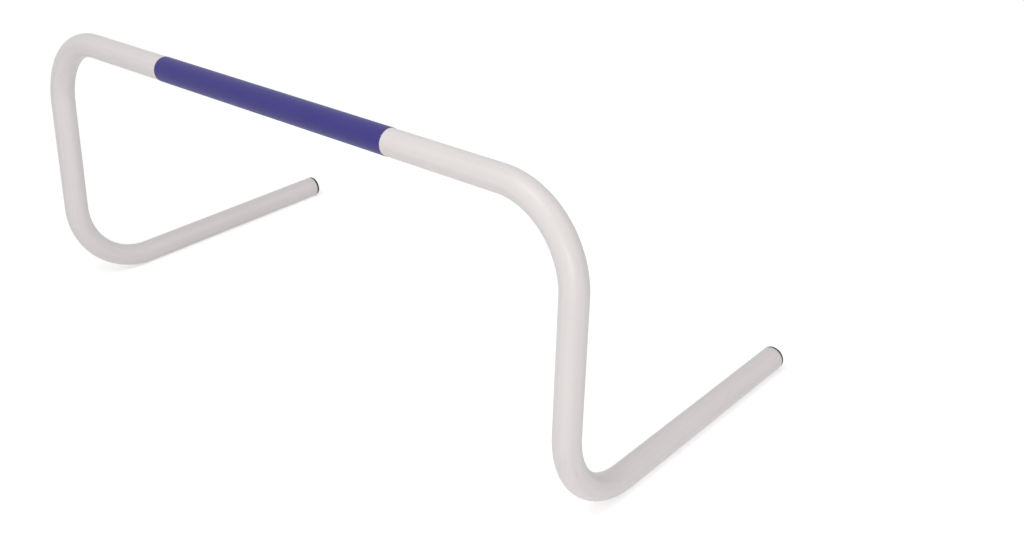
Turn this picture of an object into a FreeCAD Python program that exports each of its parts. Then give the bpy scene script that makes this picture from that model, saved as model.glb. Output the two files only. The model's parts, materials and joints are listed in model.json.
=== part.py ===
import FreeCAD, Part
import math
import os

# A low training hurdle: one plastic tube bent at two shoulders and two heels, a coloured film
# wrapped round the middle of its crossbar, and a rubber plug in each open foot end.
# Frame: X along the crossbar, Y from the legs out along the feet, Z up, floor at zero,
# origin under the middle of the whole outline. Millimetres, and degrees for angles.

# Tube
tube_diameter = 20.0
tube_wall = 1.8
hurdle_width = 610.0        # over the outsides of the legs
hurdle_height = 250.0       # floor to the top of the bare crossbar
foot_length = 275.0         # corner of leg and foot axes to the cut end
bend_radius = 63.0          # of the tube's axis, the same former for all four bends
leg_lean = 5.0              # degrees that the legs lean back over the feet
end_break = 0.5             # rounding of the outer edge of each cut end

# Film wrap on the crossbar
wrap_length = 260.0
film_thickness = 0.2
film_lap = 8.0              # overlap of the film's two long edges, round the tube
lap_ramp = 1.5              # stretch over which the outer edge climbs on to the inner one
glue_line = 0.03            # adhesive between the tube and the film
lap_angle = -60.0           # degrees from the feet's side, so the seam lies underneath and behind

# End plugs
flange_thickness = 2.2      # at the rim
flange_crown = 0.9          # height of the domed end above the rim
flange_inset = 0.15         # rim below the tube's surface, so that a sleeve slides over both
flange_break = 0.9          # rounding of the flange's outer edge
stem_length = 27.0
stem_clearance = 0.6        # between the bare stem and the tube's bore
rib_count = 4
rib_clearance = 0.05        # between a rib's crest and the bore, once pressed in
rib_land = 0.8              # flat crest of a rib
rib_slope = 2.6             # run of a rib's lead-in side
nose_taper = 3.0            # length of the tapered nose
nose_drop = 1.4             # how much the nose tapers in radius

# Directions
x_axis = FreeCAD.Vector(1, 0, 0)
y_axis = FreeCAD.Vector(0, 1, 0)

# Sizes that follow from the ones above
tube_radius = tube_diameter / 2
bore_radius = tube_radius - tube_wall
half_spacing = hurdle_width / 2 - tube_radius
foot_axis_height = tube_radius
bar_axis_height = hurdle_height - tube_radius
lean = math.radians(leg_lean)
heel_turn = math.pi / 2 + lean
heel_setback = bend_radius * math.tan(heel_turn / 2)
lean_offset = (bar_axis_height - foot_axis_height) * math.tan(lean)

# The outline runs from the front of the heel bends to the plugs' domes, and is centred on Y = 0
front_reach = heel_setback - bend_radius - tube_radius
back_reach = foot_length + flange_thickness + flange_crown
heel_y = -(front_reach + back_reach) / 2
bar_y = heel_y + lean_offset
cut_y = heel_y + foot_length


def corners(side):
    """Shoulder, heel and cut end of the tube's axis on one side: -1 is left, 1 is right."""
    x = side * half_spacing
    shoulder = FreeCAD.Vector(x, bar_y, bar_axis_height)
    heel = FreeCAD.Vector(x, heel_y, foot_axis_height)
    cut_end = FreeCAD.Vector(x, cut_y, foot_axis_height)
    return [shoulder, heel, cut_end]


def bent_path(points, radius):
    """One wire through a route of corner points: straight runs joined by tangent arcs."""
    edges = []
    run_start = points[0]
    for before, corner, after in zip(points, points[1:], points[2:]):
        incoming = (corner - before).normalize()
        outgoing = (after - corner).normalize()
        half_turn = incoming.getAngle(outgoing) / 2
        setback = radius * math.tan(half_turn)
        arc_start = corner - incoming * setback
        arc_end = corner + outgoing * setback
        inward = (outgoing - incoming).normalize()
        arc_middle = corner + inward * (radius / math.cos(half_turn) - radius)
        edges.append(Part.LineSegment(run_start, arc_start).toShape())
        edges.append(Part.Arc(arc_start, arc_middle, arc_end).toShape())
        run_start = arc_end
    edges.append(Part.LineSegment(run_start, points[-1]).toShape())
    return Part.Wire(edges)


def rod_along(path, radius):
    """A round solid swept along a path that starts with a straight run."""
    first = path.OrderedEdges[0]
    start = first.valueAt(first.FirstParameter)
    heading = first.tangentAt(first.FirstParameter)
    section = Part.Wire(Part.Circle(start, heading, radius).toShape())
    return path.makePipeShell([section], True, False)


def bent_tube():
    """The hollow tube, from the left cut end over the crossbar to the right one."""
    route = list(reversed(corners(-1))) + corners(1)
    path = bent_path(route, bend_radius)
    tube = rod_along(path, tube_radius).cut(rod_along(path, bore_radius))
    cut_faces = [face for face in tube.Faces if isinstance(face.Surface, Part.Plane)]
    rims = [edge for face in cut_faces for edge in face.OuterWire.Edges]
    tube = tube.makeFillet(min(end_break, tube_wall / 2), rims)
    section_area = math.pi * (tube_radius**2 - bore_radius**2)
    print("tube length", round(path.Length, 1), "section times length", round(section_area * path.Length),
          "volume", round(tube.Volume))
    return tube


def polar(radius, angle):
    """A point round the crossbar's axis, from the feet's side towards the top."""
    return FreeCAD.Vector(-wrap_length / 2, bar_y + radius * math.cos(angle),
                          bar_axis_height + radius * math.sin(angle))


def crossbar_wrap():
    """The film: a thin ring whose last stretch climbs over the first one in a glued lap."""
    inner_radius = tube_radius + glue_line
    outer_radius = inner_radius + film_thickness
    lap_radius = outer_radius + film_thickness
    free_edge = math.radians(lap_angle)
    lap_end = free_edge + film_lap / lap_radius
    ramp_end = lap_end + lap_ramp / outer_radius
    full_turn = free_edge + 2 * math.pi
    around = Part.Arc(polar(outer_radius, ramp_end), polar(outer_radius, (ramp_end + full_turn) / 2),
                      polar(outer_radius, full_turn))
    step = Part.LineSegment(polar(outer_radius, free_edge), polar(lap_radius, free_edge))
    over = Part.Arc(polar(lap_radius, free_edge), polar(lap_radius, (free_edge + lap_end) / 2),
                    polar(lap_radius, lap_end))
    ramp = Part.LineSegment(polar(lap_radius, lap_end), polar(outer_radius, ramp_end))
    outline = Part.Wire([curve.toShape() for curve in (around, step, over, ramp)])
    bar_start = FreeCAD.Vector(-wrap_length / 2, bar_y, bar_axis_height)
    hole = Part.Wire(Part.Circle(bar_start, x_axis, inner_radius).toShape())
    section = Part.Face([outline, hole], "Part::FaceMakerBullseye")
    return section.extrude(x_axis * wrap_length)


def end_plug(cut_end):
    """A solid rubber plug: domed flange on the cut end, and a ribbed stem that fills the bore."""
    flange_radius = tube_radius - flange_inset
    stem_radius = bore_radius - stem_clearance
    rib_radius = bore_radius - rib_clearance
    rib_pitch = (stem_length - nose_taper) / rib_count

    def at(radius, along):
        return cut_end + x_axis * radius + y_axis * along

    # From the dome's middle over the rim and down the stem to the nose, then back up the axis
    dome_height = flange_thickness + flange_crown
    dome_middle = flange_radius / 2
    dome_radius = (flange_radius**2 + flange_crown**2) / (2 * flange_crown)
    dome_fall = dome_radius - math.sqrt(dome_radius**2 - dome_middle**2)
    edges = [Part.Arc(at(0, dome_height), at(dome_middle, dome_height - dome_fall),
                      at(flange_radius, flange_thickness)).toShape()]
    outline = [at(flange_radius, flange_thickness), at(flange_radius, 0), at(stem_radius, 0)]
    for rib in range(rib_count):
        crest = -(rib + 1) * rib_pitch + rib_slope + rib_land
        outline.append(at(stem_radius, crest))
        outline.append(at(rib_radius, crest))
        outline.append(at(rib_radius, crest - rib_land))
        outline.append(at(stem_radius, crest - rib_land - rib_slope))
    outline.append(at(stem_radius - nose_drop, -stem_length))
    outline.append(at(0, -stem_length))
    outline.append(at(0, dome_height))
    edges.extend(Part.LineSegment(a, b).toShape() for a, b in zip(outline, outline[1:]))
    plug = Part.Face(Part.Wire(edges)).revolve(cut_end, y_axis, math.degrees(2 * math.pi))

    dome = next(face for face in plug.Faces if isinstance(face.Surface, Part.Sphere))
    rim = [edge for edge in dome.Edges if edge.isClosed()]
    return plug.makeFillet(min(flange_break, flange_thickness / 2), rim)


nodes = {
    "bent_tube": bent_tube(),
    "crossbar_wrap": crossbar_wrap(),
    "left_end_plug": end_plug(corners(-1)[-1]),
    "right_end_plug": end_plug(corners(1)[-1]),
}

os.makedirs("parts", exist_ok=True)
for name, shape in nodes.items():
    shape.exportStep(f"parts/{name}.step")
    box = shape.BoundBox
    print(name, "solids", len(shape.Solids), "valid", shape.isValid(), "volume", round(shape.Volume, 1),
          "low", [round(v, 2) for v in (box.XMin, box.YMin, box.ZMin)],
          "high", [round(v, 2) for v in (box.XMax, box.YMax, box.ZMax)])
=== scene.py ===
# %% [markdown]
# A low training hurdle
#
# The object is a small hurdle for footwork drills: one white plastic tube, bent at two shoulders
# and two heels, with a blue film round the middle of the crossbar and a rubber plug in each foot.
# The solids come from a CAD model, which stays the fixed frame for everything made here. This
# lesson builds the visible surfaces over it: smooth, closed meshes and procedural finishes.

# %% Load the frame
import json
import math
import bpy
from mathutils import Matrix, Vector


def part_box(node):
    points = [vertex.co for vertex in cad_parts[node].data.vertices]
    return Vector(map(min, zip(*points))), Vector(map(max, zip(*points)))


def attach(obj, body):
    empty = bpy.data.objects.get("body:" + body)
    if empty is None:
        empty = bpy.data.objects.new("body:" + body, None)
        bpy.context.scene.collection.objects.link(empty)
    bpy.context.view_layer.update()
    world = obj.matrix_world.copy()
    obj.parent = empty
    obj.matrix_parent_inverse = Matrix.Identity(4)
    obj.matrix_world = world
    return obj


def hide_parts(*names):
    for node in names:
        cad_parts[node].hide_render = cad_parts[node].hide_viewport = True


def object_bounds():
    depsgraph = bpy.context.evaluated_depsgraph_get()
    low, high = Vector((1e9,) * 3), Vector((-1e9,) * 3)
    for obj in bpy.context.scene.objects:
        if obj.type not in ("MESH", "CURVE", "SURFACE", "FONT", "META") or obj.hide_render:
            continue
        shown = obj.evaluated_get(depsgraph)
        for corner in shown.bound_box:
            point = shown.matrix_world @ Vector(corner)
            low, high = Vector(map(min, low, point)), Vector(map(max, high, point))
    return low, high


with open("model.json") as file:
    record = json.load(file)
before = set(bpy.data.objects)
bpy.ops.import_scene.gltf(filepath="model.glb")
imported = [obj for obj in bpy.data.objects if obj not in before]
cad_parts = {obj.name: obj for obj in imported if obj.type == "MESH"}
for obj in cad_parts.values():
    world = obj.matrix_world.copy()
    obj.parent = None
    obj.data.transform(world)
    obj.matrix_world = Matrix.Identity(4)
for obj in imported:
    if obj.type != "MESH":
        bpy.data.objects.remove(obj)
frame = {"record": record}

from types import SimpleNamespace

import bmesh
import bpy
from mathutils import Matrix, Vector

cad_low, cad_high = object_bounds()
print("CAD box in metres", [round(v, 4) for v in (*cad_low, *cad_high)])

# %% [markdown]
# Sizes
#
# Lengths are metres. Whatever the frame can tell is read from it: the tube's radius and the
# feet's place from the mounts, the crossbar's axis from the wrap's box, and the cut ends from the
# tube's box. Only what the frame can't show, such as the tube's wall, is typed in, each value in
# the cell that first needs it.

# %% Sizes from the frame
MM = 0.001
tube_wall = 1.8 * MM

foot_mount = next(m for m in frame["record"]["mounts"] if m["name"] == "right_foot")
leg_x, _, foot_z = foot_mount["pos_m"]
tube_radius = foot_mount["dims"]["r_mm"] * MM
bore_radius = tube_radius - tube_wall
cut_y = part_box("bent_tube")[1].y

wrap_low, wrap_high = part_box("crossbar_wrap")
wrap_length = wrap_high.x - wrap_low.x
bar_middle = (wrap_low + wrap_high) / 2
print("tube", round(2 * tube_radius / MM, 1), "mm across, bar axis", round(bar_middle.z / MM, 1),
      "mm up, wrap", round(wrap_length / MM, 1), "mm long")

# %% [markdown]
# A bend eats into both of its straight runs. The length that it takes from each is its setback:
# the bend's radius times the tangent of half its angle. The legs lean back over the feet, so the
# heels turn by a little more than a right angle.

# %% Straight runs between the bends
RIGHT_ANGLE = math.radians(90)
bend_radius = 63 * MM
leg_lean = math.radians(5)

heel_turn = RIGHT_ANGLE + leg_lean
heel_setback = bend_radius * math.tan(heel_turn / 2)
shoulder_setback = bend_radius * math.tan(RIGHT_ANGLE / 2)
rise = bar_middle.z - foot_z
heel_y = bar_middle.y - rise * math.tan(leg_lean)
foot_run = cut_y - heel_y - heel_setback
leg_run = rise / math.cos(leg_lean) - heel_setback - shoulder_setback
bar_run = 2 * (leg_x - shoulder_setback)
print("straight runs in mm: foot", round(foot_run / MM, 1), "leg", round(leg_run / MM, 1),
      "bar", round(bar_run / MM, 1))

# %% [markdown]
# Bending the tube
#
# The real tube starts as straight stock, which a machine feeds and bends. The mesh can be made the
# same way: two rings, the outside and the bore, are extruded along each straight run and spun
# round each bend. A curve with a round bevel would be quicker, but it gives no bore and no cut
# ends. Each vertex also keeps its place on the straight stock in an attribute, so that marks from
# the extrusion can follow the tube round its bends later.

# %% Two rings at the left cut end
RING_SIDES = 72
X_AXIS = Vector((1, 0, 0))
Y_AXIS = Vector((0, 1, 0))
Z_AXIS = Vector((0, 0, 1))

bm = bmesh.new()
unbent = bm.verts.layers.float_vector.new("unbent")
left_cut = Vector((-leg_x, cut_y, foot_z))
facing = (-Y_AXIS).to_track_quat("Z", "Y").to_matrix().to_4x4()
stock_frame = Matrix.Translation(left_cut) @ facing
for radius in (tube_radius, bore_radius):
    bmesh.ops.create_circle(bm, segments=RING_SIDES, radius=radius, matrix=stock_frame)

to_stock = stock_frame.inverted()
for vert in bm.verts:
    vert[unbent] = to_stock @ vert.co
cut_rings = bm.edges[:]
ring_gap = tube_radius * (1 - math.cos(math.pi / RING_SIDES))
print("a ring of", RING_SIDES, "sides stays within", round(ring_gap / MM, 4), "mm of a true circle")

# %% [markdown]
# A straight run pushes the front rings forward in short steps. The extruded vertices take over the
# attribute of the ones that they came from, so only the length of the step is added to it. The
# bender below is no more than a note of where the front of the tube is and which way it points.

# %% Feed the left foot
FEED_STEP = 12 * MM
bender = SimpleNamespace(place=left_cut.copy(), heading=-Y_AXIS, front=cut_rings[:])


def move_front(geometry, length):
    """Takes newly made rings as the front of the tube, a length further along the stock."""
    verts = {g for g in geometry if isinstance(g, bmesh.types.BMVert)}
    for vert in verts:
        vert[unbent] = vert[unbent] + Z_AXIS * length
    edges = [g for g in geometry if isinstance(g, bmesh.types.BMEdge)]
    bender.front = [e for e in edges if e.verts[0] in verts and e.verts[1] in verts]
    return list(verts)


def feed(length):
    """Pushes the front straight on by a length."""
    steps = max(1, round(length / FEED_STEP))
    step = length / steps
    for _ in range(steps):
        grown = bmesh.ops.extrude_edge_only(bm, edges=bender.front)
        bmesh.ops.translate(bm, verts=move_front(grown["geom"], step), vec=bender.heading * step)
    bender.place = bender.place + bender.heading * length


feed(foot_run)
print("left foot fed, front at", [round(v / MM, 1) for v in bender.place], "mm")

# %% [markdown]
# A bend turns the front rings about the former's axis. That axis lies one bend radius to the side
# that the tube turns to, square to the tube. Spin makes the rings in between, and it runs one step
# at a time here, so that the attribute can be kept up.

# %% Bend the left heel
BEND_STEP = math.radians(3.5)


def bend(towards, angle):
    """Turns the front by an angle towards a direction square to the tube."""
    centre = bender.place + towards * bend_radius
    axis = bender.heading.cross(towards)
    steps = max(1, round(angle / BEND_STEP))
    for _ in range(steps):
        corners = {vert for edge in bender.front for vert in edge.verts}
        grown = bmesh.ops.spin(bm, geom=[*corners, *bender.front], cent=centre, axis=axis,
                               angle=angle / steps, steps=1)
        move_front(grown["geom_last"], bend_radius * angle / steps)
    turn = Matrix.Rotation(angle, 3, axis)
    bender.place = centre + turn @ (bender.place - centre)
    bender.heading = turn @ bender.heading


bend(Z_AXIS, heel_turn)
leg_up = bender.heading.copy()
print("left heel bent, leg heads", [round(v, 3) for v in leg_up])

# %% [markdown]
# The rest of the route repeats the two moves: up the leg, right at the shoulder, along the bar,
# down the other leg and back along the other foot. Where the last ring lands shows whether all the
# lengths and turns were right: it has to mirror the first one.

# %% Over the bar to the right foot
feed(leg_run)
bend(X_AXIS, RIGHT_ANGLE)
feed(bar_run)
bend(-leg_up, RIGHT_ANGLE)
feed(leg_run)
towards_foot = X_AXIS.cross(bender.heading)
bend(towards_foot, heel_turn)
feed(foot_run)
right_cut = Vector((leg_x, cut_y, foot_z))
print("right end lands", round((bender.place - right_cut).length / MM, 4), "mm from its place")

# %% [markdown]
# Both ends are saw cuts. To close one, its outer ring is extruded once more and shrunk on to the
# bore's ring, which leaves a flat ring of faces, and the vertices that now coincide are merged.
# Bridging the two rings takes less code, but rings in one plane give it no direction to go by, and
# it can twist. The outer edge then gets a small bevel, as a deburring tool leaves it.

# %% Close the cut ends
MERGE_DISTANCE = 0.001 * MM
end_break = 0.5 * MM
wall_middle = (tube_radius + bore_radius) / 2
shrink = bore_radius / tube_radius

outer_rims = []
for rings, cut_centre in ((cut_rings, left_cut), (bender.front, right_cut)):
    rim = [edge for edge in rings if edge.verts[0][unbent].xy.length > wall_middle]
    cut_face = bmesh.ops.extrude_edge_only(bm, edges=rim)
    inner_verts = [g for g in cut_face["geom"] if isinstance(g, bmesh.types.BMVert)]
    bmesh.ops.scale(bm, verts=inner_verts, vec=(shrink, shrink, shrink),
                    space=Matrix.Translation(-cut_centre))
    for vert in inner_verts:
        vert[unbent] = vert[unbent] * Vector((shrink, shrink, 1))
    outer_rims += rim
bmesh.ops.remove_doubles(bm, verts=bm.verts[:], dist=MERGE_DISTANCE)
bmesh.ops.bevel(bm, geom=outer_rims, offset=end_break, segments=3, profile=0.5, affect="EDGES",
                material=-1)
print("tube closed, open edges left:", sum(not edge.is_manifold for edge in bm.edges))

# %% [markdown]
# Every piece ends the same way. Its doubles are merged and its normals turned outwards, faces are
# shaded smooth except across sharp corners, and the object stays at the origin with its place in
# its vertices. Then it rides on the frame's one body and stands for the CAD node of its form. The
# volume that is printed shows whether the mesh is closed and the right way out: on a tube with its
# bore turned inside out it would come to several times the plastic in the wall.

# %% Finish the tube
SHARP_ANGLE = math.radians(38)


def finish_piece(name, bm, node):
    """Makes a bmesh into a piece that rides on the frame and stands for a CAD node."""
    bmesh.ops.remove_doubles(bm, verts=bm.verts[:], dist=MERGE_DISTANCE)
    bmesh.ops.recalc_face_normals(bm, faces=bm.faces[:])
    for face in bm.faces:
        face.smooth = True
    volume = bm.calc_volume(signed=True) / MM**3
    mesh = bpy.data.meshes.new(name)
    bm.to_mesh(mesh)
    bm.free()
    mesh.set_sharp_from_angle(angle=SHARP_ANGLE)
    piece = bpy.data.objects.new(name, mesh)
    bpy.context.scene.collection.objects.link(piece)
    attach(piece, "root")
    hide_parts(node)
    print(name, "stands for", node, "with", len(mesh.polygons), "faces and",
          round(volume), "cubic mm")
    return piece


tube = finish_piece("tube", bm, "bent_tube")

# %% [markdown]
# The film wrap
#
# The blue band is a strip of vinyl film, rolled once round the bar with its long edges lapped. A
# plain cylinder over the bar would look much the same from the front, but it would have no lap and
# no thickness at its ends. The lap lies underneath and behind, where a maker would hide it.

# %% Sizes of the film
film_thickness = 0.2 * MM
glue_line = 0.03 * MM
film_lap = 8 * MM
lap_ramp = 1.5 * MM
lap_angle = math.radians(-60)

film_radius = tube_radius + glue_line
ramp_turn = lap_ramp / film_radius
lap_turn = film_lap / (film_radius + film_thickness)
film_width = 2 * math.pi * film_radius + film_lap
print("the film is a strip of", round(wrap_length / MM), "by", round(film_width / MM, 1), "mm")

# %% [markdown]
# The section of a strip is a thin rectangle. So the film starts as one long, narrow face on its
# first edge: a vertex is extruded through the thickness, and the short edge that this gives is
# extruded along the bar.

# %% The film's first edge


def radial(angle):
    """The direction away from the bar's axis, counted from the feet's side towards the top."""
    return Y_AXIS * math.cos(angle) + Z_AXIS * math.sin(angle)


bm = bmesh.new()
left_corner = bar_middle + radial(lap_angle) * film_radius - X_AXIS * (wrap_length / 2)
bmesh.ops.create_vert(bm, co=left_corner)
side = bmesh.ops.extrude_vert_indiv(bm, verts=bm.verts[:])
bmesh.ops.translate(bm, verts=side["verts"], vec=radial(lap_angle) * film_thickness)
strip = bmesh.ops.extrude_edge_only(bm, edges=bm.edges[:])
far_verts = [g for g in strip["geom"] if isinstance(g, bmesh.types.BMVert)]
bmesh.ops.translate(bm, verts=far_verts, vec=X_AXIS * wrap_length)
first_edge = bm.verts[:] + bm.edges[:] + bm.faces[:]
edge_area = sum(face.calc_area() for face in bm.faces)
print("the first edge has an area of", round(edge_area / MM**2, 1), "square mm")

# %% [markdown]
# That face is spun about the bar. Just before the turn is full, the film climbs by its own
# thickness on to its first edge, and goes on as the lap. Spinning a face makes a closed solid, so
# the film has an inside, an outside and four thin edges.

# %% Roll the film round the bar
WRAP_STEPS = 96
LAP_STEPS = 12


def roll(geometry, angle, steps):
    """Spins geometry about the bar and gives back where it ends."""
    spun = bmesh.ops.spin(bm, geom=geometry, cent=bar_middle, axis=X_AXIS, angle=angle, steps=steps)
    return spun["geom_last"]


rolled = roll(first_edge, 2 * math.pi - ramp_turn, WRAP_STEPS)
climbing = roll(rolled, ramp_turn, 1)
climbing_verts = [g for g in climbing if isinstance(g, bmesh.types.BMVert)]
bmesh.ops.translate(bm, verts=climbing_verts, vec=radial(lap_angle) * (film_thickness + glue_line))
roll(climbing, lap_turn, LAP_STEPS)
wrap = finish_piece("film_wrap", bm, "crossbar_wrap")

# %% [markdown]
# The end plugs
#
# A rubber plug closes each foot. It is round about the foot's axis, so it can be turned like a part
# on a lathe: half of its outline is drawn as a chain of edges and spun through a full circle. A
# short cylinder would show the same end, but it would be a lid with nothing to hold it. The ribs of
# the real plug grip the bore. They don't show, but they are there if the plug is pulled.

# %% Sizes of a plug
flange_thickness = 2.2 * MM
flange_crown = 0.9 * MM
flange_inset = 0.15 * MM
stem_length = 27 * MM
stem_clearance = 0.6 * MM
rib_count = 4
rib_clearance = 0.05 * MM
rib_land = 0.8 * MM
rib_slope = 2.6 * MM
nose_taper = 3 * MM
nose_drop = 1.4 * MM

flange_radius = tube_radius - flange_inset
stem_radius = bore_radius - stem_clearance
rib_radius = bore_radius - rib_clearance
rib_pitch = (stem_length - nose_taper) / rib_count
print("plug flange", round(2 * flange_radius / MM, 1), "mm across,", rib_count, "ribs every",
      round(rib_pitch / MM, 1), "mm")

# %% [markdown]
# The outline starts at the middle of the domed end. The dome is an arc, so one vertex is spun about
# the dome's centre, and it leaves a chain of edges behind. From the rim on, the outline is straight
# lines: across the cut face, down the stem with its ribs, and in to the tapered nose.

# %% Half an outline
DOME_STEPS = 8


def draw_half_plug(bm, foot_x):
    """Draws a plug's outline to the right of the foot's axis, from the dome to the nose."""
    def at(radius, along_foot):
        return Vector((foot_x + radius, cut_y + along_foot, foot_z))

    dome_radius = (flange_radius**2 + flange_crown**2) / (2 * flange_crown)
    dome_top = flange_thickness + flange_crown
    top = bmesh.ops.create_vert(bm, co=at(0, dome_top))["vert"]
    arc = bmesh.ops.spin(bm, geom=top, cent=at(0, dome_top - dome_radius), axis=-Z_AXIS,
                         angle=math.asin(flange_radius / dome_radius), steps=DOME_STEPS)
    pen = [g for g in arc["geom_last"] if isinstance(g, bmesh.types.BMVert)]
    corners = [at(flange_radius, 0), at(stem_radius, 0)]
    for rib in range(rib_count):
        crest = rib_slope + rib_land - (rib + 1) * rib_pitch
        corners += [at(stem_radius, crest), at(rib_radius, crest), at(rib_radius, crest - rib_land),
                    at(stem_radius, crest - rib_land - rib_slope)]
    corners += [at(stem_radius - nose_drop, -stem_length), at(0, -stem_length)]
    for corner in corners:
        pen = bmesh.ops.extrude_vert_indiv(bm, verts=pen)["verts"]
        pen[0].co = corner


outlines = {}
for name, foot_x in (("left_plug", -leg_x), ("right_plug", leg_x)):
    outlines[name] = bmesh.new()
    draw_half_plug(outlines[name], foot_x)
    print(name, "outline has", len(outlines[name].edges), "edges")

# %% [markdown]
# A full spin with its ends merged turns each outline into a closed body. The rim of the dome is
# still a sharp corner. Its edges are the ones whose two vertices lie on the rim's circle, and a
# bevel rounds them, as the corner of a rubber mould is rounded.

# %% Turn the plugs
LATHE_STEPS = 72
flange_break = 0.9 * MM
rim_tolerance = 0.01 * MM


def turn_plug(bm, foot_x):
    """Spins a plug's outline about the foot's axis and rounds the rim of its dome."""
    cut_centre = Vector((foot_x, cut_y, foot_z))
    bmesh.ops.spin(bm, geom=bm.verts[:] + bm.edges[:], cent=cut_centre, axis=Y_AXIS,
                   angle=2 * math.pi, steps=LATHE_STEPS, use_merge=True)
    bmesh.ops.remove_doubles(bm, verts=bm.verts[:], dist=MERGE_DISTANCE)

    def on_rim(vert):
        past_cut = vert.co.y - cut_y
        from_axis = (vert.co - cut_centre).xz.length
        return (abs(past_cut - flange_thickness) < rim_tolerance
                and abs(from_axis - flange_radius) < rim_tolerance)

    rim = [edge for edge in bm.edges if all(on_rim(vert) for vert in edge.verts)]
    bmesh.ops.bevel(bm, geom=rim, offset=flange_break, segments=5, profile=0.5, affect="EDGES",
                    material=-1)
    print("rim of", len(rim), "edges rounded by", round(flange_break / MM, 1), "mm")


turn_plug(outlines["left_plug"], -leg_x)
turn_plug(outlines["right_plug"], leg_x)
left_plug = finish_piece("left_plug", outlines["left_plug"], "left_end_plug")
right_plug = finish_piece("right_plug", outlines["right_plug"], "right_end_plug")

# %% [markdown]
# White extruded plastic
#
# The tube is a slightly warm white with a satin skin. One flat colour would look like a drawing, so
# the Principled shader takes its colour, roughness and bump from patterns. First come the empty
# material and the two sets of coordinates that its patterns follow: the object's own, for what
# depends on the place in space, and the unbent ones, for what the extrusion left on the stock.

# %% Start the white finish


def new_material(name):
    """A new material and its Principled shader."""
    material = bpy.data.materials.new(name)
    material.use_nodes = True
    return material, material.node_tree.nodes["Principled BSDF"]


def add_node(owner, kind, **settings):
    """Adds a node to the nodes of a material or a world."""
    node = owner.node_tree.nodes.new(kind)
    for key, value in settings.items():
        setattr(node, key, value)
    return node


def link(owner, output, target):
    """Joins the output of one node to an input of another."""
    owner.node_tree.links.new(output, target)


def object_coordinates(material):
    """The object's own coordinates, in metres from its origin."""
    return add_node(material, "ShaderNodeTexCoord").outputs["Object"]


white_plastic, white_shader = new_material("white_tube_plastic")
on_tube = object_coordinates(white_plastic)
on_stock = add_node(white_plastic, "ShaderNodeAttribute", attribute_name="unbent").outputs["Vector"]
print(white_plastic.name, "reads", on_tube.name, "coordinates and the attribute unbent")

# %% [markdown]
# Four patterns cover four scales. A broad mottle keeps the white from being even. Flow streaks and
# fine lines run along the stock, as the extrusion die leaves them, so their noise is drawn out
# along the tube. A short ripple breaks up the reflections a little. A noise node's scale counts
# patches per metre, and the size of one patch is easier to picture, so the helper takes that.

# %% Patterns on the white tube
mottle_patch = 36 * MM
streak_width = 3 * MM
streak_stretch = (1, 1, 0.01)
die_line_width = 0.7 * MM
die_line_stretch = (1, 1, 0.006)
ripple_patch = 2.4 * MM


def noise(material, coordinates, patch, detail=2.0, roughness=0.5, stretch=(1, 1, 1)):
    """A noise with patches of a given size, drawn out along an axis by a small factor there."""
    mapping = add_node(material, "ShaderNodeMapping")
    mapping.inputs["Scale"].default_value = stretch
    link(material, coordinates, mapping.inputs["Vector"])
    texture = add_node(material, "ShaderNodeTexNoise")
    texture.inputs["Scale"].default_value = 1 / patch
    texture.inputs["Detail"].default_value = detail
    texture.inputs["Roughness"].default_value = roughness
    link(material, mapping.outputs["Vector"], texture.inputs["Vector"])
    return texture.outputs["Fac"]


mottle = noise(white_plastic, on_tube, mottle_patch, detail=3)
flow_streaks = noise(white_plastic, on_stock, streak_width, detail=3, stretch=streak_stretch)
die_lines = noise(white_plastic, on_stock, die_line_width, stretch=die_line_stretch)
ripple = noise(white_plastic, on_tube, ripple_patch)
white_patches = (mottle_patch, streak_width, die_line_width, ripple_patch)
print("patches in mm:", [round(patch / MM, 1) for patch in white_patches])

# %% [markdown]
# The feet slide on the floor, so their undersides carry grey rubs. They could be painted on by
# hand, but the height alone says where plastic can touch a floor. So the Z coordinate is turned
# into a mask: one on the floor, and nothing from a few millimetres up. The same mask serves any
# piece that stands there.

# %% Near the floor
NOISE_LOW = 0.3
NOISE_HIGH = 0.7
rub_height = 2.6 * MM


def along(material, coordinates, axis):
    """One of the three coordinates, as a pattern by itself."""
    node = add_node(material, "ShaderNodeSeparateXYZ")
    link(material, coordinates, node.inputs["Vector"])
    return node.outputs[axis]


def between(owner, pattern, low, high, start=NOISE_LOW, stop=NOISE_HIGH):
    """Maps a stretch of a pattern, by default the useful middle of a noise, to a range."""
    node = add_node(owner, "ShaderNodeMapRange")
    ends = {"From Min": start, "From Max": stop, "To Min": low, "To Max": high}
    for socket, value in ends.items():
        node.inputs[socket].default_value = value
    link(owner, pattern, node.inputs["Value"])
    return node.outputs["Result"]


def near_floor(material, coordinates):
    """One on the floor, and down to nothing at the height that the rubs reach."""
    height = along(material, coordinates, "Z")
    return between(material, height, 1, 0, start=0, stop=rub_height)


white_near_floor = near_floor(white_plastic, on_tube)
print("rubs reach up to", round(rub_height / MM, 1), "mm above the floor")

# %% [markdown]
# A whole band of grey would look like paint. A noise that is drawn out along the feet, the way they
# slide, breaks it into marks: where it is low the plastic stays clean, and where it is high the rub
# is at its fullest. The front view hardly shows the marks, but the hurdle can be turned over.

# %% Rubs under the feet
rub_patch = 5 * MM
rub_stretch = (1, 0.25, 1)
rub_from = 0.46
rub_full = 0.62
rub_cover = 0.7


def times(material, first, second):
    """The product of two patterns, so that one masks the other."""
    node = add_node(material, "ShaderNodeMath", operation="MULTIPLY")
    link(material, first, node.inputs[0])
    link(material, second, node.inputs[1])
    return node.outputs[0]


def floor_rubs(material, coordinates, floor_mask):
    """Marks where a mask lets them be, from a noise drawn out along the feet."""
    streaks = noise(material, coordinates, rub_patch, detail=4, roughness=0.65, stretch=rub_stretch)
    marks = between(material, streaks, 0, rub_cover, start=rub_from, stop=rub_full)
    return times(material, floor_mask, marks)


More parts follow.
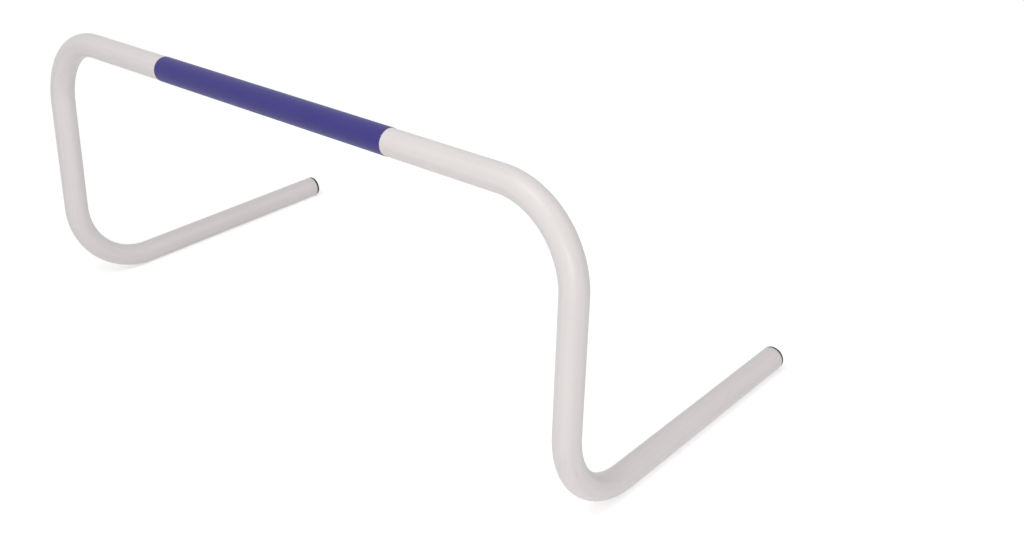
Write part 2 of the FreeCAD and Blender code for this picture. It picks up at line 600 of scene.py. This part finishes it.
white_rubs = floor_rubs(white_plastic, on_tube, white_near_floor)
print("rubs of about", round(rub_patch / MM), "mm take", rub_cover, "of the white at most")

# %% [markdown]
# Dirt gathers in the joint between the tube and a plug. Both cuts lie at the same Y, so the Y
# coordinate alone finds the last millimetre before each of them, and a noise thins the line out.

# %% Dirt at the cut ends
dirt_width = 1.2 * MM
dirt_patch = 3 * MM
dirt_thin = 0.4
dirt_thick = 0.9

near_cut = between(white_plastic, along(white_plastic, on_tube, "Y"), 0, 1,
                   start=cut_y - dirt_width, stop=cut_y - end_break)
dirt_clouds = noise(white_plastic, on_tube, dirt_patch, detail=3)
dirt_cover = between(white_plastic, dirt_clouds, dirt_thin, dirt_thick)
white_dirt = times(white_plastic, near_cut, dirt_cover)
print("dirt covers the last", round(dirt_width / MM, 1), "mm of each foot")

# %% [markdown]
# Shoes and rough storage leave short scuffs along the tube. Only the highest peaks of a drawn-out
# noise make such thin marks. A second, broad noise gathers them in groups, because marks at even
# distances would look printed.

# %% Scuffs along the tube
scuff_width = 0.8 * MM
scuff_from = 0.60
scuff_full = 0.74
scuff_cover = 0.5
scuff_group = 45 * MM
group_from = 0.44
group_full = 0.62
scuff_stretch = 0.08


def scuffs(material, coordinates, stretch):
    """Thin marks in groups, drawn out along an axis by a small factor there."""
    groups = noise(material, coordinates, scuff_group, detail=1)
    marks = noise(material, coordinates, scuff_width, detail=3, stretch=stretch)
    in_groups = between(material, groups, 0, scuff_cover, start=group_from, stop=group_full)
    peaks = between(material, marks, 0, 1, start=scuff_from, stop=scuff_full)
    return times(material, in_groups, peaks)


white_scuffs = scuffs(white_plastic, on_stock, stretch=(1, 1, scuff_stretch))
print("scuffs of about", round(scuff_width / MM, 1), "mm in groups of",
      round(scuff_group / MM), "mm")

# %% [markdown]
# Now the patterns reach the shader, the colour first. The mottle moves it between two close
# whites, both a little warm. The flow streaks shade it a trifle, and the wear pulls it towards
# grey. Each layer is a mix of what lies below it and one more colour, with a pattern as the factor.

# %% Colour of the tube
white_low = (0.717, 0.676, 0.668)
white_high = (0.763, 0.721, 0.713)
streak_white = (0.655, 0.618, 0.610)
streak_cover = 0.4
scuff_grey = (0.52, 0.49, 0.48)
rub_grey = (0.43, 0.41, 0.40)
dirt_grey = (0.12, 0.115, 0.11)

# A Mix node has sockets for numbers, vectors and colours, and these are the places of the colours
FIRST_COLOUR = 6
SECOND_COLOUR = 7
MIXED_COLOUR = 2


def mix_colour(material, factor, first, second):
    """A mix of two colours, each a fixed one or the output of a node."""
    node = add_node(material, "ShaderNodeMix", data_type="RGBA")
    link(material, factor, node.inputs["Factor"])
    for place, colour in ((FIRST_COLOUR, first), (SECOND_COLOUR, second)):
        if isinstance(colour, bpy.types.NodeSocket):
            link(material, colour, node.inputs[place])
        else:
            node.inputs[place].default_value = (*colour, 1)
    return node.outputs[MIXED_COLOUR]


even_white = mix_colour(white_plastic, mottle, white_low, white_high)
streaks = between(white_plastic, flow_streaks, 0, streak_cover)
clean_white = mix_colour(white_plastic, streaks, even_white, streak_white)
scuffed_white = mix_colour(white_plastic, white_scuffs, clean_white, scuff_grey)
rubbed_white = mix_colour(white_plastic, white_rubs, scuffed_white, rub_grey)
white_colour = mix_colour(white_plastic, white_dirt, rubbed_white, dirt_grey)
link(white_plastic, white_colour, white_shader.inputs["Base Color"])
print("white from", white_low, "to", white_high)

# %% [markdown]
# Satin plastic lies between a mirror and chalk. The die lines vary its roughness round that middle,
# and rubs and scuffs are duller than clean plastic.

# %% Shine of the tube
satin_low = 0.34
satin_high = 0.44
scuff_dulling = 0.3
rub_dulling = 0.4


def dulled(material, roughness, marks, amount):
    """A roughness that is raised by an amount where the surface is marked."""
    node = add_node(material, "ShaderNodeMath", operation="MULTIPLY_ADD")
    node.inputs[1].default_value = amount
    link(material, marks, node.inputs[0])
    link(material, roughness, node.inputs[2])
    return node.outputs[0]


satin = between(white_plastic, die_lines, satin_low, satin_high)
scuffed_satin = dulled(white_plastic, satin, white_scuffs, scuff_dulling)
worn_satin = dulled(white_plastic, scuffed_satin, white_rubs, rub_dulling)
link(white_plastic, worn_satin, white_shader.inputs["Roughness"])
print("roughness from", satin_low, "to", satin_high, "where the tube is clean")

# %% [markdown]
# The bumps are hundredths of a millimetre high, as on a real tube. That is too low to be seen as a
# shape, but it softens the edge of a highlight. In the mesh itself such bumps would take millions
# of faces, so they are left to the shader.

# %% Bump of the tube
ripple_height = 0.02 * MM
die_line_height = 0.01 * MM


def add_bump(material, shader, heights):
    """Chains bumps, each a pattern and its height in metres, into the shader's normal."""
    normal = None
    for pattern, height in heights:
        bump = add_node(material, "ShaderNodeBump")
        bump.inputs["Distance"].default_value = height
        link(material, pattern, bump.inputs["Height"])
        if normal is not None:
            link(material, normal, bump.inputs["Normal"])
        normal = bump.outputs["Normal"]
    link(material, normal, shader.inputs["Normal"])


add_bump(white_plastic, white_shader, ((ripple, ripple_height), (die_lines, die_line_height)))
tube.data.materials.append(white_plastic)
print(white_plastic.name, "is done with", len(white_plastic.node_tree.nodes), "nodes")

# %% [markdown]
# Blue vinyl film
#
# The film is a violet blue with a calendered skin: nearly even in colour, with a fine grain and a
# soft sheen. Where it was pulled tight round the tube it carries faint stretch marks, so their
# noise is drawn out round the bar. The film reflects less than the bare tube. That is one value for
# the whole piece, so it is set on the shader's own socket.

# %% Patterns on the film
cloud_patch = 22 * MM
pull_width = 6 * MM
pull_stretch = (1, 0.2, 0.2)
grain_size = 0.4 * MM
film_reflection = 0.3

blue_film, blue_shader = new_material("blue_vinyl_film")
blue_shader.inputs["Specular IOR Level"].default_value = film_reflection
on_film = object_coordinates(blue_film)
clouds = noise(blue_film, on_film, cloud_patch, detail=3)
pull_marks = noise(blue_film, on_film, pull_width, stretch=pull_stretch)
grain = noise(blue_film, on_film, grain_size, detail=1)
print("patches in mm:", [round(patch / MM, 1) for patch in (cloud_patch, pull_width, grain_size)])

# %% [markdown]
# A film wears first at its cut ends, where hands and shoes catch it. The distance from the middle
# of the bar, taken without its sign, finds both ends at once, and a noise chips the pale line that
# wear leaves there.

# %% Worn ends of the film
worn_width = 0.8 * MM
chip_size = 1.2 * MM
chip_from = 0.42
chip_full = 0.60
chip_cover = 0.6

from_middle = add_node(blue_film, "ShaderNodeMath", operation="ABSOLUTE")
link(blue_film, along(blue_film, on_film, "X"), from_middle.inputs[0])
at_ends = between(blue_film, from_middle.outputs[0], 0, 1,
                  start=wrap_length / 2 - worn_width, stop=wrap_length / 2)
chip_noise = noise(blue_film, on_film, chip_size, detail=3)
chips = between(blue_film, chip_noise, 0, chip_cover, start=chip_from, stop=chip_full)
worn_ends = times(blue_film, at_ends, chips)
print("the film wears over the last", round(worn_width / MM, 1), "mm of each end")

# %% [markdown]
# The film's colour is mixed in layers, as the tube's is. The clouds stay within a small range,
# because a calendered film is far more even than an extruded tube. The scuffs run along the bar
# here, and turn the blue paler instead of grey.

# %% Colour of the film
blue_low = (0.034, 0.0265, 0.188)
blue_high = (0.046, 0.036, 0.218)
scuff_blue = (0.075, 0.065, 0.26)
worn_blue = (0.20, 0.19, 0.36)

blue_scuffs = scuffs(blue_film, on_film, stretch=(scuff_stretch, 1, 1))
clean_blue = mix_colour(blue_film, clouds, blue_low, blue_high)
scuffed_blue = mix_colour(blue_film, blue_scuffs, clean_blue, scuff_blue)
blue_colour = mix_colour(blue_film, worn_ends, scuffed_blue, worn_blue)
link(blue_film, blue_colour, blue_shader.inputs["Base Color"])
print("blue from", blue_low, "to", blue_high)

# %% [markdown]
# The grain gives the film its soft sheen, and with the stretch marks it is the bump as well. Scuffs
# and worn ends have lost some of the sheen.

# %% Shine and bump of the film
sheen_low = 0.40
sheen_high = 0.50
film_scuff_dulling = 0.2
worn_end_dulling = 0.3
pull_height = 0.04 * MM
grain_height = 0.008 * MM

sheen = between(blue_film, grain, sheen_low, sheen_high)
scuffed_sheen = dulled(blue_film, sheen, blue_scuffs, film_scuff_dulling)
worn_sheen = dulled(blue_film, scuffed_sheen, worn_ends, worn_end_dulling)
link(blue_film, worn_sheen, blue_shader.inputs["Roughness"])
add_bump(blue_film, blue_shader, ((pull_marks, pull_height), (grain, grain_height)))
wrap.data.materials.append(blue_film)
print(blue_film.name, "is done with", len(blue_film.node_tree.nodes), "nodes")

# %% [markdown]
# Moulded rubber
#
# The plugs are charcoal rubber, matt and a little dusty. A grey bloom gathers in patches, a fine
# grit comes from the mould, and the lowest part of the rim is rubbed pale by the floor. The mask
# and the marks that made the tube's rubs serve here too.

# %% Colour of the plugs
bloom_patch = 3.8 * MM
rubber_dark = (0.026, 0.025, 0.025)
rubber_bloom = (0.062, 0.059, 0.058)
rubber_dust = (0.19, 0.185, 0.18)

plug_rubber, rubber_shader = new_material("charcoal_plug_rubber")
on_plug = object_coordinates(plug_rubber)
bloom = noise(plug_rubber, on_plug, bloom_patch, detail=4, roughness=0.6)
rubber_rubs = floor_rubs(plug_rubber, on_plug, near_floor(plug_rubber, on_plug))
clean_rubber = mix_colour(plug_rubber, bloom, rubber_dark, rubber_bloom)
rubber_colour = mix_colour(plug_rubber, rubber_rubs, clean_rubber, rubber_dust)
link(plug_rubber, rubber_colour, rubber_shader.inputs["Base Color"])
print("charcoal from", rubber_dark, "to", rubber_bloom)

# %% [markdown]
# Rubber scatters light far more than the plastics do, so its roughness lies well above theirs. The
# grit of the mould varies it and is the bump. One material serves both plugs.

# %% Shine and bump of the plugs
grit_size = 0.3 * MM
grit_height = 0.02 * MM
matt_low = 0.62
matt_high = 0.78
rubber_dulling = 0.2

grit = noise(plug_rubber, on_plug, grit_size)
matt = between(plug_rubber, grit, matt_low, matt_high)
worn_matt = dulled(plug_rubber, matt, rubber_rubs, rubber_dulling)
link(plug_rubber, worn_matt, rubber_shader.inputs["Roughness"])
add_bump(plug_rubber, rubber_shader, ((grit, grit_height),))
for plug in (left_plug, right_plug):
    plug.data.materials.append(plug_rubber)
print(plug_rubber.name, "is done with", len(plug_rubber.node_tree.nodes), "nodes")

# %% [markdown]
# Floor
#
# The hurdle stands on a plain white floor that runs out of the picture. It is a flat grid.

# %% Lay the floor
FLOOR_SIZE = 12.0

bm = bmesh.new()
bmesh.ops.create_grid(bm, x_segments=1, y_segments=1, size=FLOOR_SIZE / 2)
floor_mesh = bpy.data.meshes.new("floor")
bm.to_mesh(floor_mesh)
bm.free()
floor = bpy.data.objects.new("floor", floor_mesh)
bpy.context.scene.collection.objects.link(floor)
print("floor of", FLOOR_SIZE, "by", FLOOR_SIZE, "m with", len(floor_mesh.polygons), "face")

# %% [markdown]
# The floor's paint is as dull as paint can be, because a reflection of the hurdle in it would look
# like a wet studio. White paint throws back nine tenths of the light that falls on it, not all.

# %% Floor paint
floor_white = 0.90

floor_paint, floor_shader = new_material("floor_paint")
floor_shader.inputs["Base Color"].default_value = (floor_white, floor_white, floor_white, 1)
floor_shader.inputs["Roughness"].default_value = 1.0
floor_shader.inputs["Specular IOR Level"].default_value = 0.0
floor_mesh.materials.append(floor_paint)
print(floor_paint.name, "throws back", floor_white, "of the light")

# %% [markdown]
# At a plain light level a white floor renders as pale grey. More light would make it white, but
# would bleach the hurdle as well. So the floor gets a little glow that only a direct look can see,
# whether from the camera or by way of a reflection. It reads as white, lights nothing, and still
# shows the soft shadow under the feet. Far from the lamps the glow is a little stronger, so that
# the floor meets the white room without a horizon.

# %% Glow of the floor
glow_near = 0.42
glow_far = 0.50
glow_start = 0.6
glow_stop = 2.0


def seen_directly(owner):
    """One for a ray from the camera, a reflection or a pane, and zero for light itself."""
    path = add_node(owner, "ShaderNodeLightPath")
    total = path.outputs["Is Camera Ray"]
    for name in ("Is Glossy Ray", "Is Transmission Ray"):
        either = add_node(owner, "ShaderNodeMath", operation="MAXIMUM")
        link(owner, total, either.inputs[0])
        link(owner, path.outputs[name], either.inputs[1])
        total = either.outputs[0]
    return total


from_hurdle = add_node(floor_paint, "ShaderNodeVectorMath", operation="LENGTH")
link(floor_paint, object_coordinates(floor_paint), from_hurdle.inputs[0])
glow = between(floor_paint, from_hurdle.outputs["Value"], glow_near, glow_far,
               start=glow_start, stop=glow_stop)
seen_glow = times(floor_paint, glow, seen_directly(floor_paint))
floor_shader.inputs["Emission Color"].default_value = (1, 1, 1, 1)
link(floor_paint, seen_glow, floor_shader.inputs["Emission Strength"])
print(floor_paint.name, "glows by", glow_near, "near the hurdle and", glow_far, "far off")

# %% [markdown]
# Light
#
# The light is that of a white room: an even glow from all sides, with two soft lamps. The room is
# the world's background. It lights the hurdle at a little over half strength, and shows as plain
# white where the floor ends.

# %% White room
ROOM_GLOW = 0.56
ROOM_WHITE = 1.0

world = bpy.data.worlds.new("white_room")
world.use_nodes = True
bpy.context.scene.world = world
background = world.node_tree.nodes["Background"]
background.inputs["Color"].default_value = (1, 1, 1, 1)
room = between(world, seen_directly(world), ROOM_GLOW, ROOM_WHITE, start=0, stop=1)
link(world, room, background.inputs["Strength"])
print("the room lights at", ROOM_GLOW, "and shows at", ROOM_WHITE)

# %% [markdown]
# One lamp hangs above and in front of the bar, and makes the upper faces of the bar and the
# shoulders the brightest. The other stands off at the right, about twice as high as the hurdle,
# and lights the sides of the legs. Both are square softboxes, because a large lamp gives a round
# tube one broad, soft highlight instead of a hard line.

# %% Two soft lamps
LAMP_SIZE = 0.6
high_place = Vector((0.23, -0.50, 1.08))
high_power = 3.4
side_place = Vector((1.38, -1.38, 0.54))
side_power = 8
hurdle_middle = (cad_low + cad_high) / 2


def soft_lamp(name, place, power):
    """A square softbox that faces the middle of the hurdle."""
    light = bpy.data.lights.new(name, "AREA")
    light.shape = "SQUARE"
    light.size = LAMP_SIZE
    light.energy = power
    lamp = bpy.data.objects.new(name, light)
    lamp.location = place
    lamp.rotation_euler = (hurdle_middle - place).to_track_quat("-Z", "Y").to_euler()
    lamp.visible_camera = False
    bpy.context.scene.collection.objects.link(lamp)
    print(name, "gives", power, "W from", round((place - hurdle_middle).length, 2), "m")


soft_lamp("high_softbox", high_place, high_power)
soft_lamp("side_softbox", side_place, side_power)

# %% [markdown]
# Camera
#
# The camera stands close, in front and to the right, above the bar, and looks down past the
# hurdle's right half. That is why the near leg looks so much larger than the far one. A small
# sideways shift of the frame, like a lens that slides in its mount, brings the hurdle towards the
# middle without turning the camera, which would change the perspective.

# %% Camera
camera_place = Vector((0.7107, -0.6274, 0.532))
camera_aim = Vector((0.150, 0.0806, 0.0669))
lens_length = 42
sensor_width = 36
side_shift = -0.08

camera_data = bpy.data.cameras.new("camera")
camera_data.lens = lens_length
camera_data.sensor_width = sensor_width
camera_data.shift_x = side_shift
camera = bpy.data.objects.new("camera", camera_data)
camera.location = camera_place
look = camera_aim - camera_place
camera.rotation_euler = look.to_track_quat("-Z", "Y").to_euler()
bpy.context.scene.collection.objects.link(camera)
bpy.context.scene.camera = camera
print("the camera looks down by", round(math.degrees(math.asin(-look.normalized().z)), 1),
      "degrees from", round((hurdle_middle - camera_place).length, 2), "m")

# %% [markdown]
# Finish
#
# Colours are shown as they are written, so the view transform is the plain one.

# %% View transform
bpy.context.scene.view_settings.view_transform = "Standard"
